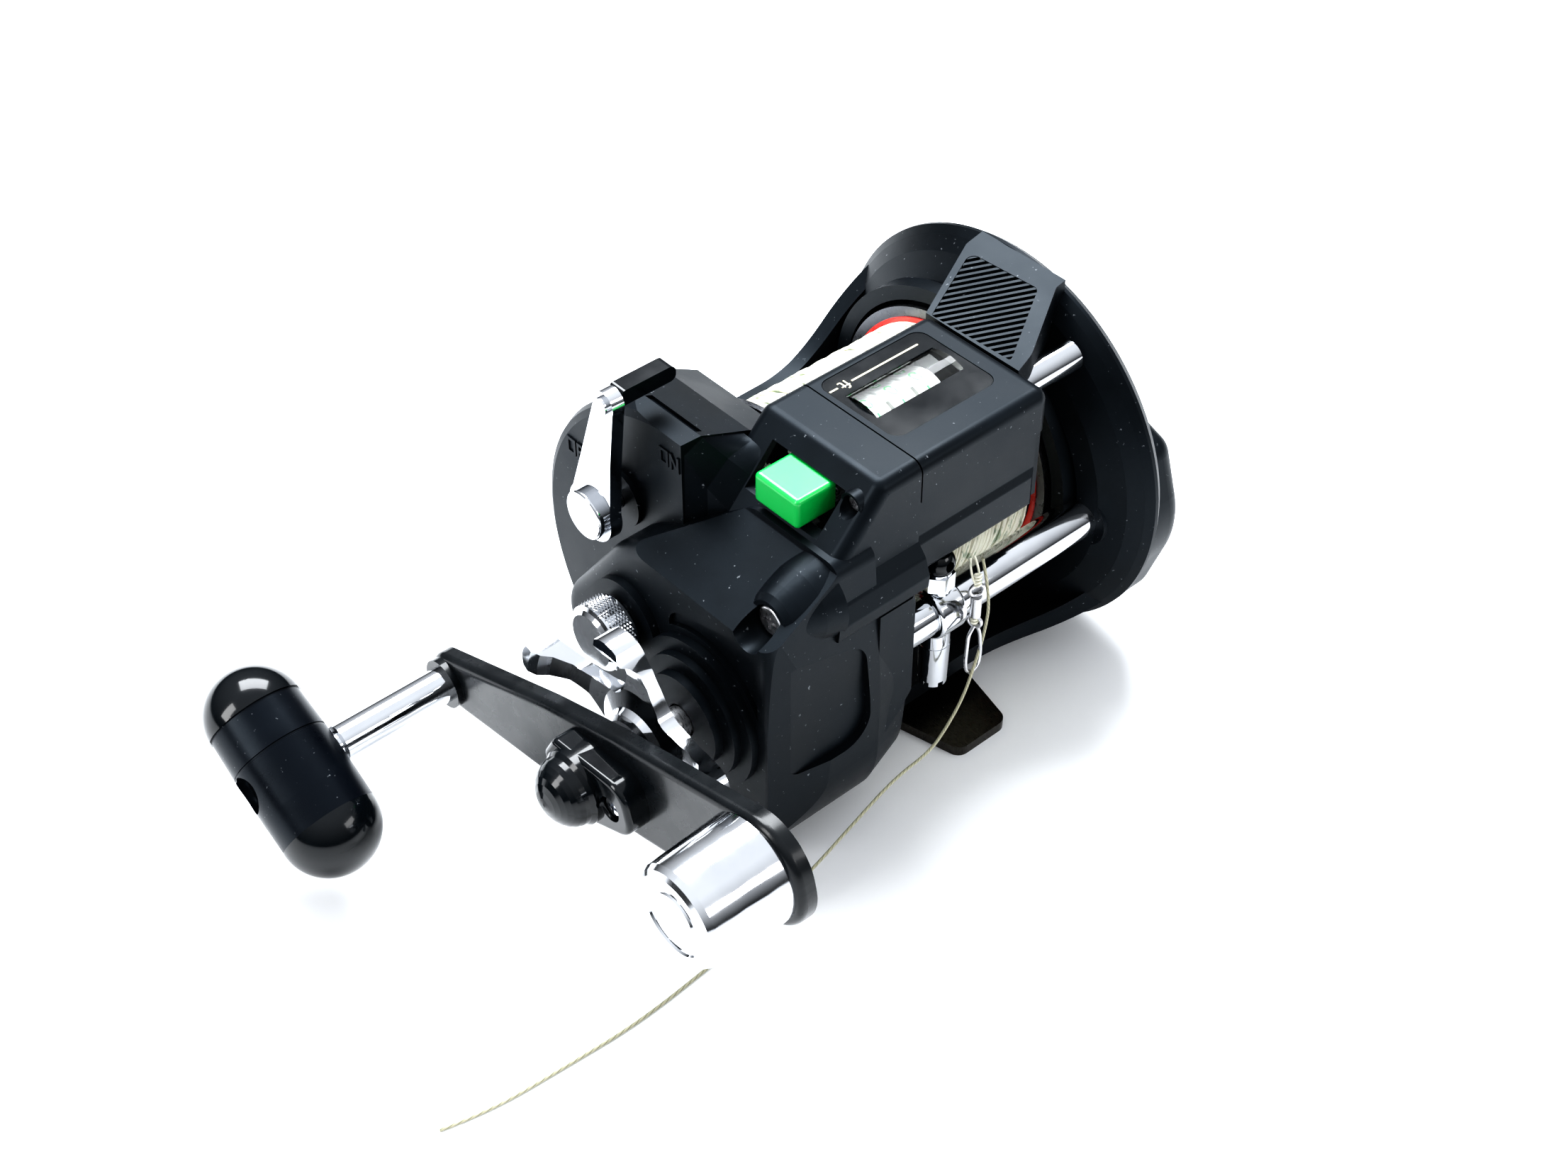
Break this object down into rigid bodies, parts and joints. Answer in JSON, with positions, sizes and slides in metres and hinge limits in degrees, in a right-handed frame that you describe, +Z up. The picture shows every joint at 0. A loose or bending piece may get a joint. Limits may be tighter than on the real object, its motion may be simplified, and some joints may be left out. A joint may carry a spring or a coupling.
{
  "type": "trolling reel",
  "caption": "Trolling reel with a line counter, star drag, free-spool lever, level wind and a counterweighted handle.",
  "frame": {"origin": "middle of the reel foot's underside", "axes": "+X along the spool axis from the handle side to the palm side, +Z up from the rod, -Y towards the line guide at the front"},
  "size_m": [0.1825, 0.118, 0.0882],
  "materials": {
    "graphite": "satin moulded",
    "knob_black": "satin",
    "gloss_black": "gloss",
    "black_metal": "semi-gloss paint",
    "chrome": "bright plated",
    "green_plastic": "gloss",
    "red_ring": "gloss",
    "spool_metal": "dark anodised",
    "line": "twisted fibre",
    "steel": "satin",
    "brass": "machined",
    "white_plastic": "satin",
    "clear": "clear polished",
    "label": "gloss print"
  },
  "bodies": {
    "frame_body": {"frame": "graphite", "handle_side_cover": "graphite", "palm_side_cover": "graphite", "counter_cap": "graphite", "counter_label": "label", "counter_window": "clear", "counter_post": "chrome", "gear_plate": "steel", "case_screws": "steel", "reel_foot": "black_metal", "foot_rivets": "steel", "level_wind_tube": "chrome", "spool_bearings": "steel", "drive_bush": "brass", "fixed_pins": "steel", "reset_spring": "steel"},
    "crank": {"drive_shaft": "steel", "main_gear": "brass", "level_wind_drive_gear": "white_plastic", "anti_reverse_ratchet": "steel", "drag_washers": "steel", "handle_arm": "black_metal", "handle_nut": "steel", "nut_cap": "gloss_black", "nut_cap_screw": "chrome", "counterweight": "chrome", "knob_post": "chrome"},
    "knob": {"knob_barrel": "knob_black", "knob_caps": "gloss_black"},
    "star": {"star_drag": "chrome"},
    "spool_body": {"spool": "spool_metal", "spool_rings": "red_ring", "wound_line": "line", "spool_shaft": "steel", "spool_counter_gear": "white_plastic", "clicker_gear": "steel"},
    "yoke": {"clutch_yoke": "steel"},
    "pinion": {"pinion_gear": "brass"},
    "worm": {"worm_shaft": "steel", "worm_gear": "white_plastic"},
    "carriage": {"line_carriage": "chrome", "carriage_pawl": "steel", "pawl_cap": "chrome", "line_guide": "gloss_black", "snap_swivel": "steel", "free_line": "line"},
    "reducer": {"counter_reducer": "white_plastic"},
    "transfer": {"counter_transfer_gear": "white_plastic"},
    "units_wheel": {"counter_gear": "white_plastic", "digit_wheel_units": "white_plastic"},
    "tens_wheel": {"digit_wheel_tens": "white_plastic"},
    "hundreds_wheel": {"digit_wheel_hundreds": "white_plastic"},
    "lever": {"clutch_lever": "chrome", "lever_thumb_tab": "gloss_black", "lever_shaft": "chrome"},
    "button": {"reset_button": "green_plastic"},
    "tension": {"tension_knob": "chrome"},
    "clicker": {"clicker_button": "graphite"},
    "dog": {"anti_reverse_dog": "steel"}
  },
  "joints": [
    {"name": "crank_turn", "type": "hinge", "parent": "frame_body", "child": "crank", "pos_m": [0, -0.016, 0.0345], "axis": [1, 0, 0], "continuous": true, "deforming": ["free_line"]},
    {"name": "knob_spin", "type": "hinge", "parent": "crank", "child": "knob", "pos_m": [0, 0.02954, 0.02289], "axis": [1, 0, 0], "continuous": true},
    {"name": "star_turn", "type": "hinge", "parent": "crank", "child": "star", "pos_m": [0, -0.016, 0.0345], "axis": [1, 0, 0], "range_deg": [-180, 180]},
    {"name": "spool_turn", "type": "hinge", "parent": "frame_body", "child": "spool_body", "pos_m": [0, 0.004, 0.042], "axis": [1, 0, 0], "continuous": true},
    {"name": "yoke_slide", "type": "slide", "parent": "frame_body", "child": "yoke", "axis": [1, 0, 0], "range_m": [-0.0015, 0]},
    {"name": "pinion_turn", "type": "hinge", "parent": "yoke", "child": "pinion", "pos_m": [0, 0.004, 0.042], "axis": [1, 0, 0], "continuous": true},
    {"name": "worm_turn", "type": "hinge", "parent": "frame_body", "child": "worm", "pos_m": [0, -0.029, 0.04], "axis": [1, 0, 0], "continuous": true},
    {"name": "carriage_slide", "type": "slide", "parent": "frame_body", "child": "carriage", "axis": [1, 0, 0], "range_m": [-0.005, 0.03]},
    {"name": "reducer_turn", "type": "hinge", "parent": "frame_body", "child": "reducer", "pos_m": [0, -0.00418, 0.05676], "axis": [1, 0, 0], "continuous": true},
    {"name": "transfer_turn", "type": "hinge", "parent": "frame_body", "child": "transfer", "pos_m": [0, -0.01069, 0.06298], "axis": [1, 0, 0], "continuous": true},
    {"name": "units_turn", "type": "hinge", "parent": "frame_body", "child": "units_wheel", "pos_m": [0, -0.0135, 0.071], "axis": [1, 0, 0], "continuous": true},
    {"name": "tens_turn", "type": "hinge", "parent": "frame_body", "child": "tens_wheel", "pos_m": [0, -0.0135, 0.071], "axis": [1, 0, 0], "continuous": true},
    {"name": "hundreds_turn", "type": "hinge", "parent": "frame_body", "child": "hundreds_wheel", "pos_m": [0, -0.0135, 0.071], "axis": [1, 0, 0], "continuous": true},
    {"name": "lever_turn", "type": "hinge", "parent": "frame_body", "child": "lever", "pos_m": [0, 0.0164, 0.0581], "axis": [1, 0, 0], "range_deg": [-40, 0]},
    {"name": "button_press", "type": "slide", "parent": "frame_body", "child": "button", "axis": [1, 0, 0], "range_m": [0, 0.0024], "stiffness_N_per_m": 150, "springref_m": -0.001, "deforming": ["reset_spring"]},
    {"name": "tension_turn", "type": "hinge", "parent": "frame_body", "child": "tension", "pos_m": [0, 0.004, 0.042], "axis": [1, 0, 0], "range_deg": [-180, 180]},
    {"name": "clicker_slide", "type": "slide", "parent": "frame_body", "child": "clicker", "axis": [0, 0, 1], "range_m": [0, 0.006]},
    {"name": "dog_swing", "type": "hinge", "parent": "frame_body", "child": "dog", "pos_m": [0, 0.002, 0.018], "axis": [1, 0, 0], "range_deg": [-8, 0]}
  ],
  "couplings": [
    {"joint": "spool_turn", "follows": "crank_turn", "ratio": -3.375},
    {"joint": "pinion_turn", "follows": "crank_turn", "ratio": -3.375},
    {"joint": "worm_turn", "follows": "crank_turn", "ratio": -3},
    {"joint": "reducer_turn", "follows": "crank_turn", "ratio": 0.84375},
    {"joint": "transfer_turn", "follows": "crank_turn", "ratio": -0.42188},
    {"joint": "units_turn", "follows": "crank_turn", "ratio": 0.17578},
    {"joint": "tens_turn", "follows": "crank_turn", "ratio": 0.017578},
    {"joint": "hundreds_turn", "follows": "crank_turn", "ratio": 0.0017578},
    {"joint": "yoke_slide", "follows": "lever_turn", "m_per_rad": 0.0021464}
  ]
}
